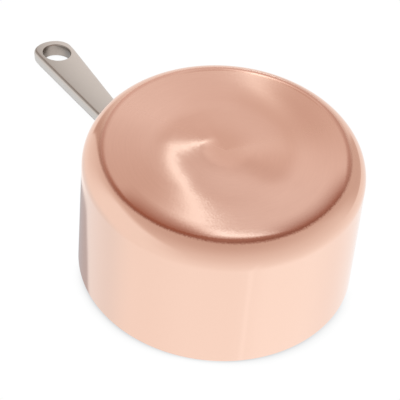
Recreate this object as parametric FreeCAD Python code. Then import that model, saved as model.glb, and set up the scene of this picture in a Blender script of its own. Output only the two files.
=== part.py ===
import FreeCAD, Part
import os
import math

os.makedirs("parts", exist_ok=True)
V = FreeCAD.Vector

# Copper saucepan, upright: base on z = 0, opening towards +Z, handle along +X.
# All sizes are in millimetres.

# ---- the pan ----
PAN_R = 80.0                # outside radius of the straight wall
PAN_H = 87.0                # height, base to rim
SHOULDER_R = 13.7           # outside radius of the rounded shoulder at the base
COPPER_T = 1.8              # copper layer
LINING_T = 0.2              # stainless lining bonded to the copper
RIM_ROUND = 0.5             # broken outer edge of the rim

COPPER_IN_R = PAN_R - COPPER_T
LINING_IN_R = COPPER_IN_R - LINING_T
WALL_T = COPPER_T + LINING_T

# ---- the handle's blade ----
BLADE_T = 8.5               # thickness of the cast bar
BLADE_SLOPE = 15.2          # degrees, the blade rises outwards by this much
EYE_REACH = 170.8           # centre of the hanging eye, this far out from the wall
EYE_RISE = 45.4             # and this far above the rim, on the underside
EYE_HALF_LEN = 12.5         # half length of the oval eye, along the blade
EYE_HALF_W = 8.8            # half width of the oval eye
EYE_ROUND = 0.9             # rounded edge of the eye
BLADE_HALF_W = 13.1         # half width at the eye
BLADE_TAPER = 0.045         # half width lost per millimetre towards the pan
BLADE_CORNER = 2.5          # rounding of the bar's four long edges
STRAIGHT_LEN = 95.0         # straight blade between the neck and the eye
END_OFFSET = 7.0            # the round end is centred this far beyond the eye

# ---- the handle's neck and the plate it is riveted on by ----
PLATE_T = 3.5
NECK_DROP = 21.0            # the neck leaves the plate this far below the rim
NECK_ROOT_HALF_W = 8.0
NECK_ROOT_T = 14.0
NECK_ROOT_SINK = 1.5        # the root starts this far inside the plate
NECK_PULL_IN = 28.0         # how far the neck runs outwards before it climbs
NECK_PULL_OUT = 34.0        # how far ahead of the blade the neck straightens
NECK_WAIST = 0.5            # narrowing half way up the neck

# ---- the rivets ----
RIVET_R = 3.0
HEAD_R = 6.0
HEAD_OUT = 2.4              # height of the outer head
HEAD_IN = 1.8               # height of the inner head
HEAD_GAP_SIDE = 1.5         # free space between an upper head and the neck
HEAD_GAP_LOW = 4.0          # free space between the lower head and the neck
UPPER_RIVET_RISE = 6.0      # upper rivets above the neck's middle
PLATE_EDGE_TOP = 3.5        # plate left round an upper head
PLATE_EDGE_LOW = 4.5        # plate left round the lower head

NECK_ROOT_Z = PAN_H - NECK_DROP
RIVET_SIDE = NECK_ROOT_HALF_W + HEAD_GAP_SIDE + HEAD_R
RIVET_TOP_Z = NECK_ROOT_Z + UPPER_RIVET_RISE
RIVET_LOW_Z = NECK_ROOT_Z - NECK_ROOT_T / 2.0 - HEAD_GAP_LOW - HEAD_R
RIVETS = {
    "rivet_upper_left": (RIVET_SIDE, RIVET_TOP_Z),
    "rivet_upper_right": (-RIVET_SIDE, RIVET_TOP_Z),
    "rivet_lower": (0.0, RIVET_LOW_Z),
}
PLATE_LOBE_TOP = HEAD_R + PLATE_EDGE_TOP    # radius of the plate round the upper rivets
PLATE_LOBE_LOW = HEAD_R + PLATE_EDGE_LOW    # radius of the plate round the lower rivet


def revolve(edges):
    """Turn a closed outline drawn in the XZ plane about the Z axis."""
    face = Part.Face(Part.Wire(edges))
    return face.revolve(V(0, 0, 0), V(0, 0, 1), 360)


def arc(cx, cz, r, a0, a1):
    """Arc in the XZ plane between two angles in degrees."""
    def at(a):
        return V(cx + r * math.cos(math.radians(a)), 0, cz + r * math.sin(math.radians(a)))
    return Part.Arc(at(a0), at((a0 + a1) / 2.0), at(a1)).toShape()


def cup(outer_r, inner_r, outer_corner, inner_corner, z_out, z_in, edge):
    """Open cup: an outer and an inner profile joined at the rim."""
    ro, ri = outer_r, inner_r
    line = lambda a, b: Part.LineSegment(V(a[0], 0, a[1]), V(b[0], 0, b[1])).toShape()
    parts = [
        line((0, z_out), (ro - outer_corner, z_out)),
        arc(ro - outer_corner, z_out + outer_corner, outer_corner, -90, 0),
        line((ro, z_out + outer_corner), (ro, PAN_H - edge)),
    ]
    if edge > 0:
        parts.append(arc(ro - edge, PAN_H - edge, edge, 0, 90))
    parts += [
        line((ro - edge, PAN_H), (ri, PAN_H)),
        line((ri, PAN_H), (ri, z_in + inner_corner)),
        arc(ri - inner_corner, z_in + inner_corner, inner_corner, 0, -90),
        line((ri - inner_corner, z_in), (0, z_in)),
        line((0, z_in), (0, z_out)),
    ]
    return revolve(parts)


def rivet_frame(y, z):
    """Radial direction and wall point for a rivet at side offset y, height z."""
    a = math.asin(y / PAN_R)
    return V(math.cos(a), math.sin(a), 0), z


def radial_cylinder(y, z, r, r_from, r_to):
    d, h = rivet_frame(y, z)
    return Part.makeCylinder(r, r_to - r_from, V(d.x * r_from, d.y * r_from, h), d)


def lens(y, z, seat_r, height, out):
    """Domed rivet head on a wall of radius seat_r, growing outwards or inwards."""
    d, h = rivet_frame(y, z)
    sphere_r = (HEAD_R ** 2 + height ** 2) / (2.0 * height)
    sign = 1.0 if out else -1.0
    c = seat_r - sign * (sphere_r - height)
    ball = Part.makeSphere(sphere_r, V(d.x * c, d.y * c, h))
    lo, hi = (seat_r - 3.0, seat_r + height + 1.0) if out else (seat_r - height - 1.0, seat_r + 3.0)
    head = ball.common(radial_cylinder(y, z, HEAD_R, lo, hi))
    wall = Part.makeCylinder(seat_r, PAN_H, V(0, 0, 0), V(0, 0, 1))
    return head.cut(wall) if out else head.common(wall)


def rounded_section(c, t, half_w, thick, corner):
    """Rounded rectangle square to direction t (in the XZ plane), centred on c."""
    n = V(-t.z, 0, t.x)
    y = V(0, 1, 0)
    hw, ht, r = half_w, thick / 2.0, corner
    k = r * (1 - math.sqrt(0.5))

    def p(a, b):
        return c + y * a + n * b
    pts = [(hw, ht), (-hw, ht), (-hw, -ht), (hw, -ht)]
    edges = []
    for i, (a, b) in enumerate(pts):
        sa, sb = (1 if a > 0 else -1), (1 if b > 0 else -1)
        on_b = p(a, b - sb * r)
        on_a = p(a - sa * r, b)
        mid = p(a - sa * k, b - sb * k)
        first, last = (on_b, on_a) if i in (0, 2) else (on_a, on_b)
        edges.append(Part.Arc(first, mid, last).toShape())
        a2, b2 = pts[(i + 1) % 4]
        s2a, s2b = (1 if a2 > 0 else -1), (1 if b2 > 0 else -1)
        nxt = p(a2 - s2a * r, b2) if i in (0, 2) else p(a2, b2 - s2b * r)
        edges.append(Part.LineSegment(last, nxt).toShape())
    return Part.Wire(edges)


# ---- the blade's own directions ----
SLOPE = math.radians(BLADE_SLOPE)
ALONG = V(math.cos(SLOPE), 0, math.sin(SLOPE))
UP = V(-math.sin(SLOPE), 0, math.cos(SLOPE))
ACROSS = V(0, 1, 0)
EYE = V(PAN_R + EYE_REACH, 0, PAN_H + EYE_RISE)     # on the underside
EYE_MID = EYE + UP * (BLADE_T / 2.0)        # half way through the bar


def neck_curve(t):
    """Bezier from the plate to the start of the straight blade."""
    p0 = V(PAN_R + NECK_ROOT_SINK, 0, NECK_ROOT_Z)
    p3 = EYE_MID - ALONG * STRAIGHT_LEN
    p1 = p0 + V(NECK_PULL_IN, 0, NECK_PULL_IN / 7.0)
    p2 = p3 - ALONG * NECK_PULL_OUT
    s = 1.0 - t
    pos = p0 * s ** 3 + p1 * (3 * s * s * t) + p2 * (3 * s * t * t) + p3 * t ** 3
    tan = (p1 - p0) * (3 * s * s) + (p2 - p1) * (6 * s * t) + (p3 - p2) * (3 * t * t)
    return pos, tan.normalize()


def blend(a, b, t):
    w = t * t * (3 - 2 * t)
    return a + (b - a) * w


def blade_and_neck():
    blade_root_hw = BLADE_HALF_W - BLADE_TAPER * STRAIGHT_LEN
    neck = []
    for i in range(7):
        t = i / 6.0
        c, d = neck_curve(t)
        hw = blend(NECK_ROOT_HALF_W, blade_root_hw, t) - NECK_WAIST * math.sin(math.pi * t)
        th = blend(NECK_ROOT_T, BLADE_T, min(1.0, t * 1.25))
        neck.append(rounded_section(c, d, hw, th, BLADE_CORNER))
    neck_solid = Part.makeLoft(neck, True, False)
    root = rounded_section(EYE_MID - ALONG * STRAIGHT_LEN, ALONG, blade_root_hw, BLADE_T, BLADE_CORNER)
    tip = rounded_section(EYE_MID, ALONG, BLADE_HALF_W, BLADE_T, BLADE_CORNER)
    blade = Part.makeLoft([root, tip], True, True)
    return neck_solid, blade


def blade_end():
    """Parallel piece and round end beyond the eye's centre, with rounded edges."""
    w = BLADE_HALF_W
    a = EYE - ACROSS * w
    b = EYE + ALONG * END_OFFSET - ACROSS * w
    m = EYE + ALONG * (END_OFFSET + w)
    c = EYE + ALONG * END_OFFSET + ACROSS * w
    d = EYE + ACROSS * w
    wire = Part.Wire([
        Part.LineSegment(a, b).toShape(), Part.Arc(b, m, c).toShape(),
        Part.LineSegment(c, d).toShape(), Part.LineSegment(d, a).toShape()])
    solid = Part.Face(wire).extrude(UP * BLADE_T)
    edges = []
    for e in solid.Edges:
        mid = e.valueAt((e.FirstParameter + e.LastParameter) / 2.0)
        rel = mid - EYE
        level = rel.dot(UP)
        flat = level < 0.01 or level > BLADE_T - 0.01
        if flat and rel.dot(ALONG) > 0.5:
            edges.append(e)
    return solid.makeFillet(BLADE_CORNER, edges)


def eye_cutter():
    """Oval prism through the bar, widened by a rounded edge at both faces."""
    def oval(grow, level):
        e = Part.Ellipse()
        e.MajorRadius = EYE_HALF_LEN + grow
        e.MinorRadius = EYE_HALF_W + grow
        e.Center = V(0, 0, 0)
        w = Part.Wire([e.toShape()])
        m = FreeCAD.Matrix(ALONG.x, ACROSS.x, UP.x, 0,
                           ALONG.y, ACROSS.y, UP.y, 0,
                           ALONG.z, ACROSS.z, UP.z, 0,
                           0, 0, 0, 1)
        w = w.transformGeometry(m)
        w.translate(EYE + UP * level)
        return w
    prism = Part.Face(oval(0.0, -2.0)).extrude(UP * (BLADE_T + 4.0))
    low = Part.makeLoft([oval(2 * EYE_ROUND, -EYE_ROUND), oval(0.0, EYE_ROUND)], True, True)
    high = Part.makeLoft([oval(0.0, BLADE_T - EYE_ROUND), oval(2 * EYE_ROUND, BLADE_T + EYE_ROUND)],
                         True, True)
    return prism.fuse([low, high])


def plate():
    """Riveting plate: a three-lobed outline wrapped round the wall."""
    lobes = []
    for name in sorted(RIVETS):
        y, z = RIVETS[name]
        lobes.append((y, z, PLATE_LOBE_LOW if abs(y) < 1e-6 else PLATE_LOBE_TOP))
    hull = None
    for i in range(3):
        y1, z1, r1 = lobes[i]
        y2, z2, r2 = lobes[(i + 1) % 3]
        disc = Part.makeCylinder(r1, 40, V(PAN_R - 20, y1, z1), V(1, 0, 0))
        hull = disc if hull is None else hull.fuse(disc)
        # straight flank between the two discs, tangent to both
        dist = math.hypot(y2 - y1, z2 - z1)
        base = math.atan2(z2 - z1, y2 - y1)
        tilt = math.asin((r1 - r2) / dist)
        quad = []
        for side in (1, -1):
            ang = base + side * (math.pi / 2 - tilt)
            quad.append((y1 + r1 * math.cos(ang), z1 + r1 * math.sin(ang)))
            quad.append((y2 + r2 * math.cos(ang), z2 + r2 * math.sin(ang)))
        ring = [quad[0], quad[1], quad[3], quad[2], quad[0]]
        poly = Part.makePolygon([V(PAN_R - 20, a, b) for a, b in ring])
        hull = hull.fuse(Part.Face(poly).extrude(V(40, 0, 0)))
    core = Part.makePolygon([V(PAN_R - 20, lobes[i % 3][0], lobes[i % 3][1]) for i in range(4)])
    hull = hull.fuse(Part.Face(core).extrude(V(40, 0, 0))).removeSplitter()
    shell = Part.makeCylinder(PAN_R + PLATE_T, PAN_H).cut(Part.makeCylinder(PAN_R, PAN_H))
    return hull.common(shell)


def largest_solid(shape):
    return max(shape.Solids, key=lambda s: s.Volume)


def build():
    # the outside shell and the lining share the copper's inner surface
    copper = cup(PAN_R, COPPER_IN_R, SHOULDER_R, SHOULDER_R - COPPER_T, 0.0, COPPER_T, RIM_ROUND)
    lining = cup(COPPER_IN_R, LINING_IN_R, SHOULDER_R - COPPER_T, SHOULDER_R - WALL_T,
                 COPPER_T, WALL_T, 0.0)

    neck, blade = blade_and_neck()
    handle = plate().fuse([neck, blade, blade_end()])
    handle = handle.cut(eye_cutter())
    # nothing of the casting reaches into the wall it is riveted to
    handle = handle.cut(Part.makeCylinder(PAN_R, PAN_H))

    rivets = {}
    for name in sorted(RIVETS):
        y, z = RIVETS[name]
        bore = radial_cylinder(y, z, RIVET_R, LINING_IN_R - 8.0, PAN_R + PLATE_T + 12.0)
        copper = copper.cut(bore)
        lining = lining.cut(bore)
        handle = handle.cut(bore)
        outer = Part.makeCylinder(PAN_R + PLATE_T, PAN_H)
        inner = Part.makeCylinder(LINING_IN_R, PAN_H)
        shank = bore.common(outer).cut(inner)
        shank = max(shank.Solids, key=lambda s: s.CenterOfMass.x)
        head_out = lens(y, z, PAN_R + PLATE_T, HEAD_OUT, True)
        head_in = lens(y, z, LINING_IN_R, HEAD_IN, False)
        rivets[name] = shank.fuse([head_out, head_in]).removeSplitter()

    nodes = {"copper_shell": copper, "steel_lining": lining,
             "handle": handle.removeSplitter()}
    nodes.update(rivets)
    return nodes


if __name__ == "__main__":
    for node, shape in sorted(build().items()):
        solid = largest_solid(shape)
        print(node, "solids", len(shape.Solids), "volume", round(solid.Volume, 1),
              "valid", solid.isValid())
        solid.exportStep("parts/" + node + ".step")
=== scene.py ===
import math

import bmesh
import bpy
from mathutils import Matrix, Vector


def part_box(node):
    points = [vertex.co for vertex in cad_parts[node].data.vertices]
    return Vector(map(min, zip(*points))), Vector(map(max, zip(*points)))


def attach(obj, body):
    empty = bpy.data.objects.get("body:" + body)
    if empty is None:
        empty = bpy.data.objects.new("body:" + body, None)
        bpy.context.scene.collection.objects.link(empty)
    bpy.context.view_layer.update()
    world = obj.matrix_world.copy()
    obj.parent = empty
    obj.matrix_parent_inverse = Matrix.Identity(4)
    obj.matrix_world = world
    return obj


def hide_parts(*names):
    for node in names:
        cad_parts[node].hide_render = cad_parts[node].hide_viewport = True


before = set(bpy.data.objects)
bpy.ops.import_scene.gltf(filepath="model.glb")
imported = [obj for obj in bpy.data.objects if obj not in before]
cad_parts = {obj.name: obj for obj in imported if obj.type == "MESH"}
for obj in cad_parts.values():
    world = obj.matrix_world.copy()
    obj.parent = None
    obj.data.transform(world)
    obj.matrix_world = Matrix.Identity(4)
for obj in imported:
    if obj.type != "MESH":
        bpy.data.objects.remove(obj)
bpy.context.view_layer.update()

# ---------------------------------------------------------------- sizes of the pan, in metres
MM = 0.001
shell_lo, shell_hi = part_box("copper_shell")
PAN_R = min(-shell_lo.x, shell_hi.x, -shell_lo.y, shell_hi.y)
PAN_H = shell_hi.z
SHOULDER = 13.7 * MM
COPPER_T = 1.8 * MM
LINING_T = 0.2 * MM
LINING_DROP = 0.02 * MM         # how far the lining stops below the rim
RIM_ROUND = 0.5 * MM
DISH = 0.25 * MM                # how far the middle of the base is hollowed
COPPER_IN = PAN_R - COPPER_T
LINING_IN = COPPER_IN - LINING_T
BASE_FLAT = PAN_R - SHOULDER    # radius of the flat of the base
DISC_R = 69.5 * MM              # where the brushed finish of the base stops

# ---------------------------------------------------------------- sizes of the handle
SLOPE = math.radians(15.2)      # of the bar above the level
ALONG = Vector((math.cos(SLOPE), 0, math.sin(SLOPE)))
UP = Vector((-math.sin(SLOPE), 0, math.cos(SLOPE)))
ACROSS = Vector((0, 1, 0))
BAR_T = 8.5 * MM
BAR_HW = 13.1 * MM              # half width at the eye
TAPER = 0.045                   # half width lost per length towards the pan
CORNER = 2.5 * MM
STRAIGHT = 95.0 * MM            # from the eye's centre back to the neck
END_OFFSET = 6.95 * MM          # from the eye's centre to the centre of the round end
EYE_A, EYE_B, EYE_ROUND = 12.5 * MM, 8.8 * MM, 0.9 * MM
EYE = Vector((250.8 * MM, 0, 132.4 * MM))           # on the bar's underside

NECK_ROOT = Vector((81.5 * MM, 0, PAN_H - 21.0 * MM))
NECK_LEAVES = Vector((28.0 * MM, 0, 4.0 * MM))      # the curve's pull away from the pan
NECK_ARRIVES = 34.0 * MM                            # and its pull into the bar
NECK_HW, NECK_T, NECK_WAIST = 8.0 * MM, 14.0 * MM, 0.5 * MM
FLARE_REACH, FLARE_HW, FLARE_T = 7.0 * MM, 1.3 * MM, 2.4 * MM

PLATE_R = 83.5 * MM             # outer face of the riveting plate, from the pan's axis
PLATE_ROUND = 1.0 * MM
PLATE_MID = PAN_H - 22.0 * MM

# ---------------------------------------------------------------- sizes of the rivets
HEAD_R, SHANK_R = 6.0 * MM, 3.0 * MM
OUTER_DOME, INNER_DOME, HEAD_SUNK = 2.4 * MM, 1.8 * MM, 0.3 * MM
RIVET_SIDE = 15.5 * MM          # the upper pair, to each side of the middle
UPPER_Z, LOWER_Z = PAN_H - 15.0 * MM, PAN_H - 38.0 * MM
# node: piece, y, z and the radius of the plate round it
RIVETS = {
    "rivet_upper_left": ("rivet_head_left", RIVET_SIDE, UPPER_Z, 9.5 * MM),
    "rivet_upper_right": ("rivet_head_right", -RIVET_SIDE, UPPER_Z, 9.5 * MM),
    "rivet_lower": ("rivet_head_low", 0.0, LOWER_Z, 10.5 * MM),
}


# ---------------------------------------------------------------- mesh helpers
def add_mesh(name, verts, faces):
    mesh = bpy.data.meshes.new(name)
    mesh.from_pydata([tuple(v) for v in verts], [], faces)
    mesh.validate()
    mesh.update()
    for p in mesh.polygons:
        p.use_smooth = True
    ob = bpy.data.objects.new(name, mesh)
    bpy.context.scene.collection.objects.link(ob)
    return ob


def even_normals(ob):
    m = ob.modifiers.new("even_normals", "WEIGHTED_NORMAL")
    m.mode = "FACE_AREA_WITH_ANGLE"
    m.weight = 100
    m.keep_sharp = True


def crisp_edges(ob):
    ob.data.set_sharp_from_angle(angle=math.radians(50))
    even_normals(ob)


def lathe(name, profile, segs):
    """Turn an outline of (r, z) about Z; its two ends at r = 0 become poles."""
    verts, rings, faces = [], [], []
    for r, z in profile:
        count = 1 if r < 1e-9 else segs
        rings.append(list(range(len(verts), len(verts) + count)))
        for i in range(count):
            a = 2 * math.pi * i / segs
            verts.append((r * math.cos(a), r * math.sin(a), z))
    for a, b in zip(rings, rings[1:]):
        for i in range(segs):
            j = (i + 1) % segs
            if len(a) == 1:
                faces.append((a[0], b[j], b[i]))
            elif len(b) == 1:
                faces.append((a[i], a[j], b[0]))
            else:
                faces.append((a[i], a[j], b[j], b[i]))
    return add_mesh(name, verts, faces)


def arc(cx, cz, r, a0, a1, n):
    out = []
    for i in range(n + 1):
        a = math.radians(a0 + (a1 - a0) * i / n)
        out.append((cx + r * math.cos(a), cz + r * math.sin(a)))
    return out


def spread(a, b, n):
    """The n - 1 points that part the line from a to b evenly, its ends left out."""
    return [(a[0] + (b[0] - a[0]) * i / n, a[1] + (b[1] - a[1]) * i / n) for i in range(1, n)]


def quarter(n):
    """Angles of a quarter turn in n steps, both ends included."""
    return [math.pi / 2 * k / n for k in range(n + 1)]


def blend(a, b, t):
    t = max(0.0, min(1.0, t))
    return a + (b - a) * t * t * (3 - 2 * t)


# ---------------------------------------------------------------- the pan
def dished_base(rings=26):
    """The flat of the base from its middle out, a hair hollow so that it stands on its edge."""
    points = []
    for i in range(rings):
        r = BASE_FLAT * i / rings
        points.append((r, DISH * (0.5 + 0.5 * math.cos(math.pi * r / BASE_FLAT))))
    return points


def make_pan():
    # where copper and lining meet, from the wall down and in to the axis
    bond = [(COPPER_IN, SHOULDER)]
    bond += arc(BASE_FLAT, SHOULDER, SHOULDER - COPPER_T, 0, -90, 14)[1:]
    bond += [(0, COPPER_T)]

    outline = dished_base()
    outline += arc(BASE_FLAT, SHOULDER, SHOULDER, -90, 0, 28)
    outline += spread((PAN_R, SHOULDER), (PAN_R, PAN_H - RIM_ROUND), 16)
    outline += arc(PAN_R - RIM_ROUND, PAN_H - RIM_ROUND, RIM_ROUND, 0, 90, 6)
    outline += [(COPPER_IN, PAN_H)]
    copper = lathe("copper_body", outline + bond, 256)
    even_normals(copper)

    top, floor_z = PAN_H - LINING_DROP, COPPER_T + LINING_T
    inner = [(0, floor_z)]
    inner += spread((0, floor_z), (BASE_FLAT, floor_z), 12)
    inner += arc(BASE_FLAT, SHOULDER, SHOULDER - floor_z, -90, 0, 24)
    inner += spread((LINING_IN, SHOULDER), (LINING_IN, top), 12)
    inner += [(LINING_IN, top), (COPPER_IN, top)]
    lining = lathe("inner_lining", (inner + bond)[::-1], 192)
    even_normals(lining)
    return copper, lining


# ---------------------------------------------------------------- the handle
CORNER_STEPS = 6        # steps round each corner of the bar
FLAT_STEPS = 8          # steps across each of its flat faces
HALF_ROUND = FLAT_STEPS + 2 * CORNER_STEPS + 1      # points in half of a section


class Skin:
    """Vertices and faces of one mesh while it grows."""

    def __init__(self):
        self.verts, self.faces = [], []

    def ring(self, points):
        first = len(self.verts)
        self.verts.extend(points)
        return list(range(first, len(self.verts)))

    def bridge(self, a, b, closed=True):
        for i in range(len(a) if closed else len(a) - 1):
            j = (i + 1) % len(a)
            self.faces.append((a[i], a[j], b[j], b[i]))


def section(centre, along, half_w, thick):
    """Rounded rectangle square to along: underside, two corners, top, two corners."""
    normal = Vector((-along.z, 0, along.x))
    flat, side = half_w - CORNER, thick / 2 - CORNER
    points = []
    for sign in (1, -1):
        half = [(flat * (2 * i / FLAT_STEPS - 1), -thick / 2) for i in range(FLAT_STEPS)]
        for a in quarter(CORNER_STEPS):
            half.append((flat + CORNER * math.sin(a), -side - CORNER * math.cos(a)))
        for a in quarter(CORNER_STEPS)[:-1]:
            half.append((flat + CORNER * math.cos(a), side + CORNER * math.sin(a)))
        points += [centre + ACROSS * (sign * y) + normal * (sign * z) for y, z in half]
    return points


def neck_point(t):
    """Middle of the neck and its direction, from the pan (t = 0) to the bar (t = 1)."""
    p0 = NECK_ROOT
    p1 = p0 + NECK_LEAVES
    p3 = EYE + UP * (BAR_T / 2) - ALONG * STRAIGHT
    p2 = p3 - ALONG * NECK_ARRIVES
    s = 1 - t
    middle = p0 * s ** 3 + p1 * (3 * s * s * t) + p2 * (3 * s * t * t) + p3 * t ** 3
    heading = (p1 - p0) * (3 * s * s) + (p2 - p1) * (6 * s * t) + (p3 - p2) * (3 * t * t)
    return middle, heading.normalized()


def add_neck(skin, steps=44):
    """The curved neck; gives back the ring of its last section."""
    end_hw = BAR_HW - TAPER * STRAIGHT
    last = None
    for k in range(steps + 1):
        t = k / steps
        t = t * (0.55 + 0.45 * t)                   # closer sections near the pan
        middle, heading = neck_point(t)
        flare = max(0.0, 1 - (middle - NECK_ROOT).length / FLARE_REACH) ** 2.2
        half_w = blend(NECK_HW, end_hw, t) - NECK_WAIST * math.sin(math.pi * t) + FLARE_HW * flare
        thick = blend(NECK_T, BAR_T, t * 1.25) + FLARE_T * flare
        ids = skin.ring(section(middle, heading, half_w, thick))
        if last is None:
            skin.faces.append(tuple(ids))
        else:
            skin.bridge(last, ids)
        last = ids
    return last


def bar_outline(side_steps=20, end_steps=40, middle_steps=3):
    """(s, y, outward) from the neck's right side round the end to its left, ends left out."""
    right = []
    for i in range(side_steps - 1, 0, -1):
        s = -STRAIGHT * i / side_steps
        right.append((s, -(BAR_HW + TAPER * s), (0, -1)))
    for i in range(middle_steps):
        right.append((END_OFFSET * i / middle_steps, -BAR_HW, (0, -1)))
    end = []
    for i in range(end_steps + 1):
        a = math.pi * (i / end_steps - 0.5)
        c, s = math.cos(a), math.sin(a)
        end.append((END_OFFSET + BAR_HW * c, BAR_HW * s, (c, s)))
    left = [(s, -y, (0, 1)) for s, y, _ in reversed(right)]
    return right + end + left


def on_bar(s, y, level):
    """Place at s along the bar from the eye's centre, y across, level above the underside."""
    return EYE + ALONG * s + ACROSS * y + UP * level


def add_bar(skin, neck):
    """Flat bar with rounded edges from the neck's ring to the round end, with its eye."""
    around = neck + neck[:1]
    bottom_flat = around[:FLAT_STEPS + 1]
    left_low = around[FLAT_STEPS:FLAT_STEPS + CORNER_STEPS + 1]
    left_high = around[FLAT_STEPS + CORNER_STEPS + 1:HALF_ROUND + 1]
    top_flat = around[HALF_ROUND:HALF_ROUND + FLAT_STEPS + 1]
    right_high = around[HALF_ROUND + FLAT_STEPS:HALF_ROUND + FLAT_STEPS + CORNER_STEPS + 1]
    right_low = around[HALF_ROUND + FLAT_STEPS + CORNER_STEPS + 1:]

    # rows round the bar: inset from its outline, level, and the neck's points at both ends
    rows = []
    for k, a in enumerate(quarter(CORNER_STEPS)):
        rows.append((CORNER * (1 - math.sin(a)), CORNER * (1 - math.cos(a)),
                     right_low[-1 - k], left_low[k]))
    for k, a in enumerate(quarter(CORNER_STEPS)):
        rows.append((CORNER * (1 - math.cos(a)), BAR_T - CORNER * (1 - math.sin(a)),
                     right_high[-1 - k], left_high[k]))
    edges = []
    for inset, level, first, final in rows:
        points = [on_bar(s - ns * inset, y - ny * inset, level) for s, y, (ns, ny) in bar_outline()]
        edges.append([first] + skin.ring(points) + [final])
    for a, b in zip(edges, edges[1:]):
        skin.bridge(a, b, closed=False)

    # each flat face is a closed loop joined to the eye
    bottom_loop = edges[0] + bottom_flat[::-1][1:-1]
    top_loop = edges[-1] + top_flat[1:-1]
    add_eye(skin, bottom_loop, top_loop)


def add_eye(skin, bottom_loop, top_loop, round_steps=4):
    """Oval hole with rounded edges, each of its points facing one of the outer loops' points."""
    n = len(bottom_loop)
    bearings = []
    for v in bottom_loop:
        rel = skin.verts[v] - EYE
        bearings.append(math.atan2(rel.y / EYE_B, rel.dot(ALONG) / EYE_A))
    # even steps round the oval, turned to face the outer points as well as they can
    even = [bearings[0] + 2 * math.pi * i / n for i in range(n)]
    off = [math.atan2(math.sin(b - e), math.cos(b - e)) for b, e in zip(bearings, even)]
    turn = sum(off) / n

    def oval(grow, level):
        return skin.ring([on_bar((EYE_A + grow) * math.cos(e + turn),
                                 (EYE_B + grow) * math.sin(e + turn), level) for e in even])
    loops = [bottom_loop]
    for a in quarter(round_steps):
        loops.append(oval(EYE_ROUND * (1 - math.sin(a)), EYE_ROUND * (1 - math.cos(a))))
    for a in quarter(round_steps):
        loops.append(oval(EYE_ROUND * (1 - math.cos(a)), BAR_T - EYE_ROUND * (1 - math.sin(a))))
    loops.append(top_loop)
    for a, b in zip(loops, loops[1:]):
        skin.bridge(b, a)


def add_plate(skin, points=120, face_rings=8, round_steps=5):
    """Riveting plate: a belt round three lobes, bent to the wall, with a rounded edge."""
    outline = []
    for i in range(points):
        a = 2 * math.pi * i / points
        c, s = math.cos(a), math.sin(a)
        _, y, z, lobe = max(RIVETS.values(), key=lambda q: q[1] * c + q[2] * s + q[3])
        outline.append((y + lobe * c, z + lobe * s, c, s))

    def loop(inset, depth, shrink=1.0):
        rho = PLATE_R - depth
        verts = []
        for y, z, ny, nz in outline:
            y = (y - ny * inset) * shrink
            z = PLATE_MID + (z - nz * inset - PLATE_MID) * shrink
            verts.append(Vector((math.sqrt(rho * rho - y * y), y, z)))
        return skin.ring(verts)
    loops = [loop(0, PLATE_R - PAN_R)]
    for a in quarter(round_steps):
        loops.append(loop(PLATE_ROUND * (1 - math.cos(a)), PLATE_ROUND * (1 - math.sin(a))))
    for k in range(1, face_rings):
        loops.append(loop(PLATE_ROUND, 0, 1 - k / face_rings))
    for a, b in zip(loops, loops[1:]):
        skin.bridge(a, b)
    skin.faces.append(tuple(loops[-1]))


def make_handle():
    skin = Skin()
    add_bar(skin, add_neck(skin))
    add_plate(skin)
    ob = add_mesh("handle_casting", skin.verts, skin.faces)
    bm = bmesh.new()
    bm.from_mesh(ob.data)
    bmesh.ops.recalc_face_normals(bm, faces=bm.faces)
    bm.to_mesh(ob.data)
    bm.free()
    crisp_edges(ob)
    return ob


# ---------------------------------------------------------------- rivets
def dome(rise, steps=12):
    """(r, drop) down a shallow dome as wide as a rivet's head, from its crown to its edge."""
    ball = (HEAD_R ** 2 + rise ** 2) / (2 * rise)
    half = math.asin(HEAD_R / ball)
    points = []
    for i in range(steps + 1):
        a = half * i / steps
        points.append((ball * math.sin(a), ball * (1 - math.cos(a))))
    return points


def make_rivet(name, y, z):
    """A head outside the plate, a shank through the wall and a head inside the lining."""
    outer, inner = PLATE_R - HEAD_SUNK, LINING_IN + HEAD_SUNK
    outline = [(r, PLATE_R + OUTER_DOME - drop) for r, drop in dome(OUTER_DOME)]
    outline += [(HEAD_R, outer), (SHANK_R, outer), (SHANK_R, inner), (HEAD_R, inner)]
    outline += [(r, LINING_IN - INNER_DOME + drop) for r, drop in dome(INNER_DOME)[::-1]]
    ob = lathe(name, outline[::-1], 48)
    turn = Matrix.Rotation(math.asin(y / PAN_R), 4, "Z") @ Matrix.Rotation(math.pi / 2, 4, "Y")
    ob.data.transform(Matrix.Translation((0, 0, z)) @ turn)
    crisp_edges(ob)
    return ob


copper, lining = make_pan()
handle = make_handle()
rivets = {node: make_rivet(name, y, z) for node, (name, y, z, _) in RIVETS.items()}


# ---------------------------------------------------------------- where the studio is
# The pan lies upside down on its rim and the end of its handle, so the studio's floor is
# a plane tilted about Y that touches both.
def lowest(ob, up):
    return min(v.co.dot(up) for v in ob.data.vertices)


def floor_up(lean):
    return Vector((math.sin(lean), 0, -math.cos(lean)))


def resting_lean():
    """The lean at which rim and handle touch the same floor, found by halving."""
    low, high = math.radians(5), math.radians(15)
    for _ in range(30):
        lean = (low + high) / 2
        up = floor_up(lean)
        if lowest(handle, up) < lowest(copper, up):
            low = lean
        else:
            high = lean
    return lean


STUDIO_UP = floor_up(resting_lean())
FLOOR_D = min(lowest(handle, STUDIO_UP), lowest(copper, STUDIO_UP))

CAM_POS = Vector((-0.7092, -0.3931, -0.7656))
CAM_AIM = Vector((0.0067, -0.0098, 0.0422))
CAM_ROLL = math.radians(-0.25)
CAM_LENS = 180.3
forward = (CAM_AIM - CAM_POS).normalized()

# the pan's own axes as it lies: up out of its base, away from the camera and to its right
PAN_UP = Vector((0, 0, -1))
AWAY = (forward - PAN_UP * forward.dot(PAN_UP)).normalized()
SIDE = AWAY.cross(PAN_UP)


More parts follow.
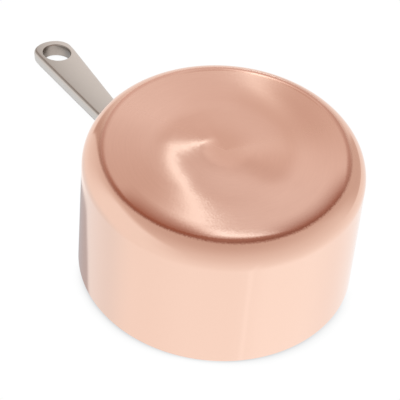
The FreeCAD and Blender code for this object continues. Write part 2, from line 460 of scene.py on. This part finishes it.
def add_camera():
    right = forward.cross(STUDIO_UP).normalized()
    turn = Matrix((right, right.cross(forward), -forward)).transposed().to_4x4()
    cam = bpy.data.objects.new("camera", bpy.data.cameras.new("camera"))
    cam.data.sensor_width = 36.0
    cam.data.lens = CAM_LENS
    cam.data.clip_start, cam.data.clip_end = 0.05, 50.0
    cam.matrix_world = Matrix.Translation(CAM_POS) @ turn @ Matrix.Rotation(CAM_ROLL, 4, "Z")
    bpy.context.scene.collection.objects.link(cam)
    bpy.context.scene.camera = cam


add_camera()


# ---------------------------------------------------------------- node helpers
class Nodes:
    """Short ways to build one node tree; a value is a number, a colour or a socket."""

    def __init__(self, tree):
        self.tree = tree
        self.tree.nodes.clear()

    def put(self, socket, value):
        if isinstance(value, bpy.types.NodeSocket):
            self.tree.links.new(value, socket)
        else:
            socket.default_value = value

    def node(self, kind, ins=None, **props):
        made = self.tree.nodes.new(kind)
        for key, value in props.items():
            setattr(made, key, value)
        for key, value in (ins or {}).items():
            self.put(made.inputs[key], value)
        return made

    def math(self, op, *values):
        return self.node("ShaderNodeMath", dict(enumerate(values)), operation=op).outputs[0]

    def plus(self, first, *others):
        for other in others:
            first = self.math("ADD", first, other)
        return first

    def minus(self, a, b):
        return self.math("SUBTRACT", a, b)

    def times(self, first, *others):
        for other in others:
            first = self.math("MULTIPLY", first, other)
        return first

    def most(self, first, *others):
        for other in others:
            first = self.math("MAXIMUM", first, other)
        return first

    def vector(self, x, y, z=0.0):
        return self.node("ShaderNodeCombineXYZ", {0: x, 1: y, 2: z}).outputs[0]

    def dot(self, v, axis):
        ins = {0: v, 1: tuple(axis)}
        return self.node("ShaderNodeVectorMath", ins, operation="DOT_PRODUCT").outputs["Value"]

    def step(self, x, a, b, lo=0.0, hi=1.0, kind="SMOOTHSTEP"):
        """lo where x is at a or before it, hi at b or past it, and a ramp between."""
        ins = {"Value": x, "From Min": a, "From Max": b, "To Min": lo, "To Max": hi}
        return self.node("ShaderNodeMapRange", ins, interpolation_type=kind).outputs[0]

    def step_linear(self, x, a, b):
        return self.step(x, a, b, kind="LINEAR")

    def window(self, x, a0, a1, b1, b0):
        """1 between a1 and b1, 0 outside a0 and b0."""
        return self.times(self.step(x, a0, a1), self.step(x, b0, b1))

    def mix(self, f, a, b):
        """Colour a where f is 0, b where it is 1."""
        return self.node("ShaderNodeMix", data_type="RGBA", ins={0: f, 6: a, 7: b}).outputs[2]

    def fmix(self, f, a, b):
        """The same for plain numbers."""
        return self.node("ShaderNodeMix", data_type="FLOAT", ins={0: f, 2: a, 3: b}).outputs[0]

    def noise(self, vec, scale, detail=3.0, rough=0.55):
        ins = {"Vector": vec, "Scale": scale, "Detail": detail, "Roughness": rough}
        return self.node("ShaderNodeTexNoise", ins).outputs["Fac"]

    def ramp(self, f, stops):
        made = self.node("ShaderNodeValToRGB", {0: f})
        elements = made.color_ramp.elements
        while len(elements) < len(stops):
            elements.new(0.5)
        for element, (place, grey) in zip(elements, stops):
            element.position = place
            element.color = (grey, grey, grey, 1)
        return made.outputs[0]

    def graph(self, x, points, low, high, reach=1.0):
        """Value at x on the line through points, whose values lie from low to high, up to reach."""
        stops = [(place / reach, (value - low) / (high - low)) for place, value in points]
        level = self.ramp(self.math("DIVIDE", x, reach), stops)
        return self.math("MULTIPLY_ADD", level, high - low, low)

    def place(self):
        """The object's own coordinates, whole and as x, y and z."""
        co = self.node("ShaderNodeTexCoord").outputs["Object"]
        return (co, *self.node("ShaderNodeSeparateXYZ", {0: co}).outputs)

    def radius(self, x, y):
        return self.math("SQRT", self.plus(self.times(x, x), self.times(y, y)))

    def bump(self, height, strength, distance):
        ins = {"Height": height, "Strength": strength, "Distance": distance}
        return self.node("ShaderNodeBump", ins)

    def metal(self, colour, roughness, bump, extra=None):
        ins = {"Base Color": colour, "Metallic": 1.0, "Roughness": roughness,
               "Normal": bump.outputs[0], **(extra or {})}
        bsdf = self.node("ShaderNodeBsdfPrincipled", ins)
        self.node("ShaderNodeOutputMaterial", {"Surface": bsdf.outputs[0]})


def material(name):
    m = bpy.data.materials.new(name)
    m.use_nodes = True
    return m, Nodes(m.node_tree)


# ---------------------------------------------------------------- copper
# Bearings on the base are counted from DISC_X, which lies to the right as the pan is seen.
DISC_TURN = math.radians(29)
DISC_Y = Vector((math.cos(DISC_TURN), math.sin(DISC_TURN), 0))
DISC_X = Vector((-DISC_Y.y, DISC_Y.x, 0))
SWIRL_R = 72.0 * MM
# radius as a share of SWIRL_R, and the degrees by which the polishing has turned the grain there
SWIRL_HALF = [(0.0, 120), (0.12, 112), (0.22, 77), (0.32, 64), (0.43, 56), (0.65, 18), (0.77, 1),
              (0.90, -6), (1.04, -9), (1.20, -32)]
OTHER_HALF = [(0.0, 20), (0.50, 20), (0.60, 18), (0.80, -3.2), (1.0, -12)]

MIRROR = (0.945, 0.650, 0.525, 1), (0.955, 0.672, 0.548, 1)
# brushed copper in painted sheen: a brighter and a duller copy mixed by the grain's bearing, and a
# dark copy for painted shade
BRUSHED_PAINTED_BRIGHT = (0.88, 0.560, 0.450, 1), (0.95, 0.620, 0.500, 1)
BRUSHED_PAINTED_DULL = (0.69, 0.390, 0.290, 1), (0.76, 0.435, 0.330, 1)
BRUSHED_PAINTED_SHADE = (0.60, 0.315, 0.225, 1)
# dark line at the disc's edge, also used for its painted shade
EDGE_LINE_AND_SHADE = (0.34, 0.080, 0.034, 1)


class Disc:
    """Radius and bearing about the pan's axis."""

    def __init__(self, n):
        self.n = n
        self.co, x, y, self.z = n.place()
        self.r = n.radius(x, y)
        self.theta = n.math("ARCTAN2", y, x)
        self.bx, self.by = n.dot(self.co, DISC_X), n.dot(self.co, DISC_Y)
        self.bearing = n.math("ARCTAN2", self.by, self.bx)
        self.far = n.math("SINE", self.bearing)     # 1 on the side away from the camera
        self.u = n.math("DIVIDE", self.r, SWIRL_R)

    def toward(self, degrees, outside, inside):
        """1 at that bearing, falling to 0 to both sides; the limits are cosines."""
        off = self.n.minus(self.bearing, math.radians(degrees))
        return self.n.step(self.n.math("COSINE", off), outside, inside)

    def grooves(self, per_metre, per_radian, detail, rough=0.55, layer=0.0):
        """Noise drawn out along rings about the axis."""
        n = self.n
        rolled = n.vector(n.times(self.r, per_metre), n.times(self.theta, per_radian), layer)
        return n.noise(rolled, 1.0, detail, rough)


def swirl(n, d, hair):
    """Direction of the disc's grain, and its turn near the middle in radians."""
    # past the bend at 180 degrees the swirl is read a little further out
    turned = n.math("ARCTAN2", n.times(d.by, -1.0), n.times(d.bx, -1.0))
    drift = n.times(n.step_linear(turned, 0.0, math.radians(52)), 0.19,
                    n.step(turned, math.radians(150), math.radians(120)))
    pull = n.graph(n.plus(d.u, drift), SWIRL_HALF, -60.0, 180.0, 1.25)
    inner_turn = n.math("RADIANS", n.times(pull, n.step(d.u, 0.62, 0.45)))
    jitter = n.plus(n.times(n.minus(hair, 0.5), 14.0),
                    n.times(n.minus(n.noise(d.co, 1100.0, 1.0), 0.5), 16.0))
    other = n.graph(d.u, OTHER_HALF, -20.0, 20.0)
    pull = n.plus(n.fmix(d.toward(210, -0.20, 0.16), other, pull), jitter)
    angle = n.plus(d.bearing, n.math("RADIANS", pull))
    c, s = n.math("COSINE", angle), n.math("SINE", angle)
    grain = n.vector(*[n.plus(n.times(c, DISC_X[k]), n.times(s, DISC_Y[k])) for k in (0, 1)])
    return grain, inner_turn


def brushed_sheen(n, d):
    """How strongly the grain draws out its highlights."""
    below = n.times(n.step(d.far, 0.70, -0.50), n.step(d.u, 0.02, 0.22))
    outer = n.times(n.step(d.u, 0.38, 0.80), 0.80)
    swirled = n.times(d.toward(210, -0.55, 0.45), n.step(d.u, 0.06, 0.20))
    return n.most(below, outer, swirled)


def brushed_painted_sheen(n, d, rings, inner_turn, sheen):
    """Painted sheen: lighter where the grain runs one way, darker the other, with three patches of
    painted shade.
    """
    # painted sheen: lighter or darker with the grain's bearing, as brushed copper catches the light
    lean = n.math("SINE", n.times(n.plus(d.bearing, inner_turn), 2.0))
    lean = n.times(lean, n.step(d.u, 0.45, 0.7, 0.7, 1.0))
    lean = n.fmix(n.step(d.u, 0.05, 0.35), 0.55, lean)
    tone = n.mix(n.math("MULTIPLY_ADD", lean, 0.5, 0.5), n.mix(rings, *BRUSHED_PAINTED_BRIGHT),
                 n.mix(rings, *BRUSHED_PAINTED_DULL))
    # painted shade: where the grain draws out little, on the far side and far to the right
    painted_shade_right_far = n.times(d.toward(50, 0.70, 1.0), 0.42, n.step(d.u, 0.35, 0.60),
                        n.step(d.u, 0.98, 0.74, 0.30, 1.0))
    for painted_dark in (n.times(n.minus(1.0, sheen), 0.36),
                   n.times(n.step(d.far, 0.25, 0.95), 0.34),
                   painted_shade_right_far):
        tone = n.mix(painted_dark, tone, BRUSHED_PAINTED_SHADE)
    return tone


def edge_line_and_painted_shade(n, d, jag):
    """Dark line where the brushed disc ends, strongest on the near side, with painted shade soft
    towards the disc's middle in places and a painted dark line over the far edge's glint.
    """
    wobble = n.noise(n.vector(n.math("COSINE", d.theta), n.math("SINE", d.theta)), 1.6, 1.0)
    wobble = n.times(n.minus(wobble, 0.5), 0.8 * MM)
    fray = n.times(n.minus(jag, 0.5), n.fmix(d.toward(298, -0.10, 0.85), 1.2 * MM, 2.4 * MM))
    r = n.plus(d.r, wobble, fray)

    line = n.step(r, 66.6 * MM, 69.2 * MM, kind="SMOOTHERSTEP")
    line = n.times(line, n.plus(n.fmix(d.toward(278, -0.95, 0.95), 0.09, 0.77),
                                n.times(d.toward(238, 0.80, 0.97), 0.11)))
    # painted shade, soft towards the middle, near left and near right
    inward = n.step_linear(r, 58.5 * MM, 69.0 * MM)
    near_left = n.times(inward, d.toward(243, 0.86, 0.99))
    near_right = n.times(n.math("POWER", inward, 1.6), d.toward(322, 0.80, 0.985))
    near = n.times(n.most(near_left, near_right), 0.80)
    # painted dark line over the far edge, where the strip light would glint
    far = n.times(n.step(r, 66.1 * MM, 67.2 * MM), d.toward(78, 0.72, 0.96), 0.32)

    outward = n.most(n.times(d.toward(292, 0.80, 1.0), 0.5 * MM),
                     n.times(d.toward(50, 0.70, 1.0), 1.4 * MM))
    ends = n.step(n.minus(r, outward), 71.6 * MM, 69.7 * MM)
    return n.times(n.most(line, near, far), ends, n.step(d.z, 9.0 * MM, 6.0 * MM))


def copper_material():
    """Mirror copper, a brushed disc on the base and a dark ring round the disc, partly painted
    shade.
    """
    m, n = material("polished_copper")
    d = Disc(n)
    rings = d.grooves(900.0, 3.0, 4.0, 0.6)
    hair = d.grooves(5200.0, 14.0, 3.0, 0.6, 3.0)
    jag = d.grooves(900.0, 90.0, 2.0)
    base_side = n.step(d.z, 6.0 * MM, 5.0 * MM)
    edge = n.plus(n.step(d.far, -0.2, 0.7, DISC_R, DISC_R + 1.1 * MM),
                  n.times(n.minus(jag, 0.5), 1.6 * MM))
    inside = n.step(d.r, n.plus(edge, 0.35 * MM), n.minus(edge, 0.35 * MM))
    brushed = n.times(inside, base_side)
    verge = n.step(d.r, 67.2 * MM, 69.4 * MM)

    grain, inner_turn = swirl(n, d, hair)
    sheen = brushed_sheen(n, d)
    # the brushed disc carries painted sheen and painted shade in its colour
    colour = n.mix(brushed, n.mix(n.noise(d.co, 9.0), *MIRROR),
                   brushed_painted_sheen(n, d, rings, inner_turn, sheen))
    # the dark edge line and its painted shade
    colour = n.mix(edge_line_and_painted_shade(n, d, jag), colour, EDGE_LINE_AND_SHADE)

    rough_brushed = n.plus(n.fmix(hair, 0.28, 0.35), n.step(d.far, 0.1, 0.6, 0.0, -0.055))
    rough_brushed = n.fmix(verge, rough_brushed, n.step(d.far, 0.0, 0.6, 0.42, 0.56))
    rough_mirror = n.plus(n.fmix(n.noise(d.co, 30.0), 0.05, 0.085),
                          n.times(base_side, n.step(d.r, 77.0 * MM, 70.0 * MM, 0.0, 0.10)))
    stretch = n.times(sheen, n.fmix(verge, 1.0, n.step(d.far, 0.0, 0.6, 0.6, 0.15)))

    height = n.plus(n.times(hair, 0.6), n.times(rings, 0.4))
    scratches = n.bump(n.times(height, brushed), 0.12, 0.06 * MM)
    bump = n.bump(n.noise(d.co, 16.0, 1.0), 0.25, 0.4 * MM)
    n.put(bump.inputs["Normal"], scratches.outputs[0])
    n.metal(colour, n.fmix(brushed, rough_mirror, rough_brushed), bump,
            {"Anisotropic": n.times(brushed, stretch, 0.97), "Tangent": grain})
    return m


# ---------------------------------------------------------------- steel
def cast_colour_painted_shade(n, co, x, y, z, cloud):
    """Warm grey, with painted shade on the right of the underside, on the right edges and in the
    eye, and painted light on the left of the underside.
    """
    normal = n.node("ShaderNodeTexCoord").outputs["Normal"]
    grain = n.noise(n.vector(n.times(x, 120.0), n.times(y, 1500.0), n.times(z, 120.0)), 1.0, 3.0)
    colour = n.mix(cloud, (0.660, 0.628, 0.585, 1), (0.720, 0.686, 0.640, 1))
    colour = n.mix(n.times(grain, 0.25), colour, (0.50, 0.455, 0.42, 1))

    # painted shade and painted light: the underside darker to its right and lighter to its left
    faces_down = n.dot(normal, -UP)
    underside = n.step(faces_down, 0.80, 0.98)
    slant = n.step_linear(y, -11.0 * MM, 9.0 * MM)
    painted_shade_side = n.times(underside, n.times(n.minus(1.0, slant), 0.42))
    colour = n.mix(painted_shade_side, colour, (0.26, 0.245, 0.215, 1))
    colour = n.mix(n.times(underside, n.times(slant, 0.45)), colour, (0.80, 0.765, 0.715, 1))

    # painted shade along the right edges: the lower edge all along, the upper edge near the pan
    faces_right = n.step(n.dot(normal, -ACROSS), 0.02, 0.25)
    low_edge_painted_shade = n.times(n.step(faces_down, 0.58, 0.78), n.step(faces_down, 0.985, 0.92), faces_right)
    colour = n.mix(n.times(low_edge_painted_shade, 0.56), colour, (0.15, 0.140, 0.120, 1))
    near_pan = n.step(x, 150.0 * MM, 105.0 * MM)
    high_edge_painted_shade = n.times(n.step(n.dot(normal, UP), 0.15, 0.45), near_pan, faces_right)
    colour = n.mix(n.times(high_edge_painted_shade, 0.75), colour, (0.12, 0.10, 0.09, 1))

    # painted shade on the eye's wall, less dark where it faces back towards the pan
    rel = n.node("ShaderNodeVectorMath", {0: co, 1: tuple(EYE)}, operation="SUBTRACT").outputs[0]
    oval = n.radius(n.math("DIVIDE", n.dot(rel, ALONG), EYE_A), n.math("DIVIDE", y, EYE_B))
    lit = n.step(n.dot(normal, (-ALONG - ACROSS * 0.5).normalized()), 0.35, 1.0)
    wall = n.mix(lit, (0.16, 0.135, 0.115, 1), (0.46, 0.415, 0.375, 1))
    return n.mix(n.times(n.step(oval, 1.05, 1.015), 0.85), colour, wall)


def cast_material():
    """Satin cast steel."""
    m, n = material("cast_steel")
    co, x, y, z = n.place()
    cloud = n.noise(co, 45.0, 4.0)
    speck = n.noise(co, 1800.0, 3.0)
    bump = n.bump(n.plus(speck, n.times(cloud, 2.0)), 0.07, 0.1 * MM)
    n.metal(cast_colour_painted_shade(n, co, x, y, z, cloud), n.fmix(speck, 0.27, 0.36), bump)
    return m


def rivet_material():
    m, n = material("rivet_steel")
    co = n.node("ShaderNodeTexCoord").outputs["Object"]
    colour = n.mix(n.noise(co, 160.0, 4.0), (0.60, 0.57, 0.53, 1), (0.70, 0.67, 0.63, 1))
    speck = n.noise(co, 2500.0, 3.0)
    n.metal(colour, n.fmix(speck, 0.22, 0.32), n.bump(speck, 0.08, 0.1 * MM))
    return m


def lining_material():
    """Steel turned on a lathe: fine lines round the wall and round the floor."""
    m, n = material("lining_steel")
    _, x, y, z = n.place()
    run = n.plus(n.radius(x, y), z)
    theta = n.math("ARCTAN2", y, x)
    hair = n.noise(n.vector(n.times(run, 3000.0), n.times(theta, 6.0)), 1.0, 3.0)
    colour = n.mix(hair, (0.84, 0.835, 0.83, 1), (0.90, 0.895, 0.89, 1))
    n.metal(colour, n.fmix(hair, 0.26, 0.36), n.bump(hair, 0.15, 0.05 * MM))
    return m


def dress(ob, node, mat):
    """Give a piece its material and put it in place of its CAD node."""
    ob.data.materials.append(mat)
    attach(ob, "root")
    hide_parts(node)


dress(copper, "copper_shell", copper_material())
dress(lining, "steel_lining", lining_material())
dress(handle, "handle", cast_material())
rivet_steel = rivet_material()
for node, ob in rivets.items():
    dress(ob, node, rivet_steel)


# ---------------------------------------------------------------- studio
RAYS = ("visible_camera", "visible_diffuse", "visible_glossy", "visible_transmission",
        "visible_volume_scatter", "visible_shadow")


def met_only_by(ob, ray):
    for kind in RAYS:
        setattr(ob, kind, kind == ray)


def floor(name, up, d, size, reach):
    """One-sided pale floor that only the camera sees: white, with a soft contact shade."""
    side = up.cross(Vector((0, 1, 0))).normalized()
    other = up.cross(side)
    corners = ((-1, -1), (1, -1), (1, 1), (-1, 1))
    verts = [up * d + side * a * size + other * b * size for a, b in corners]
    ob = add_mesh(name, verts, [(0, 1, 2, 3)])
    met_only_by(ob, "visible_camera")
    m, n = material(name)
    near = n.node("ShaderNodeAmbientOcclusion", {"Distance": reach}, samples=16).outputs["AO"]
    co, x, y, _ = n.place()
    lift = n.step(near, 0.0, 0.55, 0.55, 1.0)
    lift = n.fmix(n.step(n.radius(x, y), 105.0 * MM, 135.0 * MM, 0.0, 0.8), lift, 1.0)
    colour = n.mix(lift, (0.30, 0.31, 0.34, 1), (1.0, 1.0, 1.0, 1))
    strength = n.fmix(n.noise(co, 60.0, 2.0), 1.0, 1.02)
    glow = n.node("ShaderNodeEmission", {"Color": colour, "Strength": strength})
    clear = n.node("ShaderNodeBsdfTransparent")
    back = n.node("ShaderNodeNewGeometry").outputs["Backfacing"]
    mix = n.node("ShaderNodeMixShader", {0: back, 1: glow.outputs[0], 2: clear.outputs[0]})
    n.node("ShaderNodeOutputMaterial", {"Surface": mix.outputs[0]})
    ob.data.materials.append(m)


def rim_shadow_skirt(segs=180):
    """Skirt for the painted contact shadow, from the rim outward, bent a little to the base's side
    and facing it.
    """
    verts, faces = [], []
    for out in (-0.1 * MM, 2.0 * MM, 12.0 * MM):
        r = PAN_R + out
        z = PAN_H - 0.05 * MM - 0.2 * max(0.0, out)
        for i in range(segs):
            a = 2 * math.pi * i / segs
            verts.append((r * math.cos(a), r * math.sin(a), z))
    for k in (0, segs):
        for i in range(segs):
            j = (i + 1) % segs
            faces.append((k + segs + j, k + segs + i, k + i, k + j))
    return add_mesh("rim_shadow_sheet", verts, faces)


def rim_painted_shadow():
    """Painted contact shadow: a dark sheet just outside the rim, seen only from the base's side."""
    ob = rim_shadow_skirt()
    met_only_by(ob, "visible_camera")
    m, n = material("rim_shadow_sheet")
    d = Disc(n)
    away = n.minus(d.r, PAN_R)
    left, right = d.toward(222, 0.75, 1.0), d.toward(322, 0.70, 1.0)
    length = n.plus(1.3 * MM, n.times(left, 0.7 * MM), n.times(right, 1.1 * MM))
    fade = n.math("EXPONENT", n.times(n.math("DIVIDE", away, length), -1.0))
    fade = n.times(fade, n.step(away, 11.5 * MM, 5.0 * MM), n.step(d.far, -0.10, -0.50, 0.0, 0.30),
                   n.fmix(left, 1.0, 1.3), n.fmix(n.noise(d.co, 90.0, 2.0), 0.9, 1.1))
    back = n.node("ShaderNodeNewGeometry").outputs["Backfacing"]
    fade = n.times(fade, n.minus(1.0, back))
    # the painted shadow is a dark glow, fading out from the rim
    dark = n.node("ShaderNodeEmission", {"Color": (0.20, 0.205, 0.22, 1), "Strength": 1.0})
    clear = n.node("ShaderNodeBsdfTransparent")
    mix = n.node("ShaderNodeMixShader", {0: fade, 1: clear.outputs[0], 2: dark.outputs[0]})
    n.node("ShaderNodeOutputMaterial", {"Surface": mix.outputs[0]})
    ob.data.materials.append(m)


# one floor for the pan lying on its rim and one for it standing upright
floor("floor_main", STUDIO_UP, FLOOR_D - 0.2 * MM, size=3.0, reach=30.0 * MM)
floor("floor_upright", Vector((0, 0, 1)), -0.2 * MM, size=4.0, reach=50.0 * MM)
rim_painted_shadow()


# ---------------------------------------------------------------- light
def room_level(n, el, az):
    """Brightness of the studio round the pan; directions in degrees, az 0 away from the camera."""
    # pale floor below, brown ceiling above
    level = n.ramp(n.step_linear(el, -90, 90), [
        (0.0, 1.03), (0.20, 1.01), (0.27, 0.975), (0.36, 0.93), (0.47, 0.88), (0.53, 0.84),
        (0.64, 0.785), (0.75, 0.71), (0.86, 0.64), (1.0, 0.585)])
    level = n.plus(level, n.times(n.window(az, 60, 100, 130, 165),
                                  n.step(el, -10, -45, 0.0, 0.045)))
    # large softbox on the left, its upper edge falling away toward the viewer
    off = n.plus(az, 75.0)
    top = n.minus(49.0, n.times(off, off, 0.0045))
    soft = n.times(n.step(n.minus(el, top), 6.0, -9.0), n.window(az, -168, -118, -86, -52),
                   n.step(el, -48, -30, 0.5, 1.0))
    level = n.fmix(soft, level, 0.935)
    # wall and post far behind, a thin bright line in front, a pale patch high behind
    wall = n.times(n.window(az, 27, 31, 52, 84), n.step(el, -5.0, -1.0))
    level = n.times(level, n.fmix(wall, 1.0, n.step(el, 60, 0, 0.90, 0.76)))
    post = n.times(n.window(az, -39.5, -37.8, -36.5, -14.0), n.window(el, -7, 2, 28, 60))
    level = n.times(level, n.fmix(post, 1.0, 0.66))
    line = n.times(n.window(az, 147, 149.5, 150.5, 153.5), n.step(el, 0, -30))
    level = n.plus(level, n.times(line, 0.03))
    far = n.times(n.window(az, -34, -14, 14, 30), n.window(el, 10, 30, 62, 82))
    return n.fmix(far, level, 0.95)


def room_tint(n, el, az):
    """Cool low on the left, and a dark card there whose edge curves in toward its top."""
    over = n.plus(el, 45.45)
    rise = n.most(over, 0.0)
    edge = n.plus(n.math("MULTIPLY_ADD", over, 4.9, -41.0), n.times(rise, rise, 24.5))
    card = n.times(n.step(n.minus(az, edge), -3.0, 3.0), n.step(az, 4.0, 0.0))
    low_left = n.times(n.window(az, -112, -78, -45, -30), n.step(el, -12, -34))
    tint = n.mix(low_left, (1, 1, 1, 1), (0.90, 0.935, 0.965, 1))
    return n.mix(card, tint, (0.53, 0.51, 0.53, 1))


def build_world():
    world = bpy.data.worlds.new("studio")
    bpy.context.scene.world = world
    world.use_nodes = True
    n = Nodes(world.node_tree)
    d = n.node("ShaderNodeTexCoord").outputs["Generated"]
    el = n.math("DEGREES", n.math("ARCSINE", n.dot(d, PAN_UP)))
    az = n.math("DEGREES", n.math("ARCTAN2", n.dot(d, SIDE), n.dot(d, AWAY)))
    level = room_level(n, el, az)
    colour = n.node("ShaderNodeCombineColor", {0: level, 1: n.math("POWER", level, 1.5),
                                               2: n.math("POWER", level, 1.72)}).outputs[0]
    colour = n.node("ShaderNodeVectorMath", {0: colour, 1: room_tint(n, el, az)},
                    operation="MULTIPLY").outputs[0]
    room = n.node("ShaderNodeBackground", {"Color": colour, "Strength": 1.0})
    white = n.node("ShaderNodeBackground", {"Color": (1, 1, 1, 1), "Strength": 1.0})
    seen = n.node("ShaderNodeLightPath").outputs["Is Camera Ray"]
    mix = n.node("ShaderNodeMixShader", {0: seen, 1: room.outputs[0], 2: white.outputs[0]})
    n.node("ShaderNodeOutputWorld", {"Surface": mix.outputs[0]})


def pan_dir(az, el):
    """Direction el degrees up and az degrees to the right of straight away from the camera."""
    a, e = math.radians(az), math.radians(el)
    level = SIDE * (math.sin(a) * math.cos(e)) + AWAY * (math.cos(a) * math.cos(e))
    return level + PAN_UP * math.sin(e)


STRIP_AZ, STRIP_EL, STRIP_AWAY = 5.3, 18, 1.6


def strip_light():
    """Tall narrow light far behind the pan, which draws the swirl on its base."""
    aim = Vector((0, 0, PAN_H / 2))
    toward = pan_dir(STRIP_AZ, STRIP_EL) * STRIP_AWAY
    data = bpy.data.lights.new("strip", "AREA")
    data.shape = "RECTANGLE"
    data.size, data.size_y = 0.05, 0.5
    data.energy = 3.0
    data.color = (0.52, 0.76, 0.84)
    data.cycles.use_multiple_importance_sampling = False
    ob = bpy.data.objects.new("strip", data)
    ob.location = aim + toward
    ob.rotation_mode = "QUATERNION"
    ob.rotation_quaternion = (-toward).to_track_quat("-Z", "Y")
    bpy.context.scene.collection.objects.link(ob)


def strip_flag(columns=30):
    """Card beside the strip light: it lets the light reach the base and shades the wall."""
    out, across = pan_dir(STRIP_AZ, 0), pan_dir(STRIP_AZ + 90, 0)
    inner, outer, first, last = PAN_R + 1.5 * MM, 1.1, -0.19, 0.11
    verts = []
    for i in range(columns + 1):
        side = first + (last - first) * i / columns
        begins = math.sqrt(max(0.0, inner ** 2 - side ** 2))
        for reach in (begins, outer):
            verts.append(out * reach + across * side + PAN_UP * (0.4 * MM))
    faces = [(2 * i, 2 * i + 1, 2 * i + 3, 2 * i + 2) for i in range(columns)]
    ob = add_mesh("strip_flag", verts, faces)
    met_only_by(ob, "visible_shadow")
    m, n = material("strip_flag")
    black = n.node("ShaderNodeBsdfDiffuse", {"Color": (0, 0, 0, 1)})
    n.node("ShaderNodeOutputMaterial", {"Surface": black.outputs[0]})
    ob.data.materials.append(m)


build_world()
strip_light()
strip_flag()

scene = bpy.context.scene
scene.view_settings.view_transform = "Standard"
scene.view_settings.look = "None"
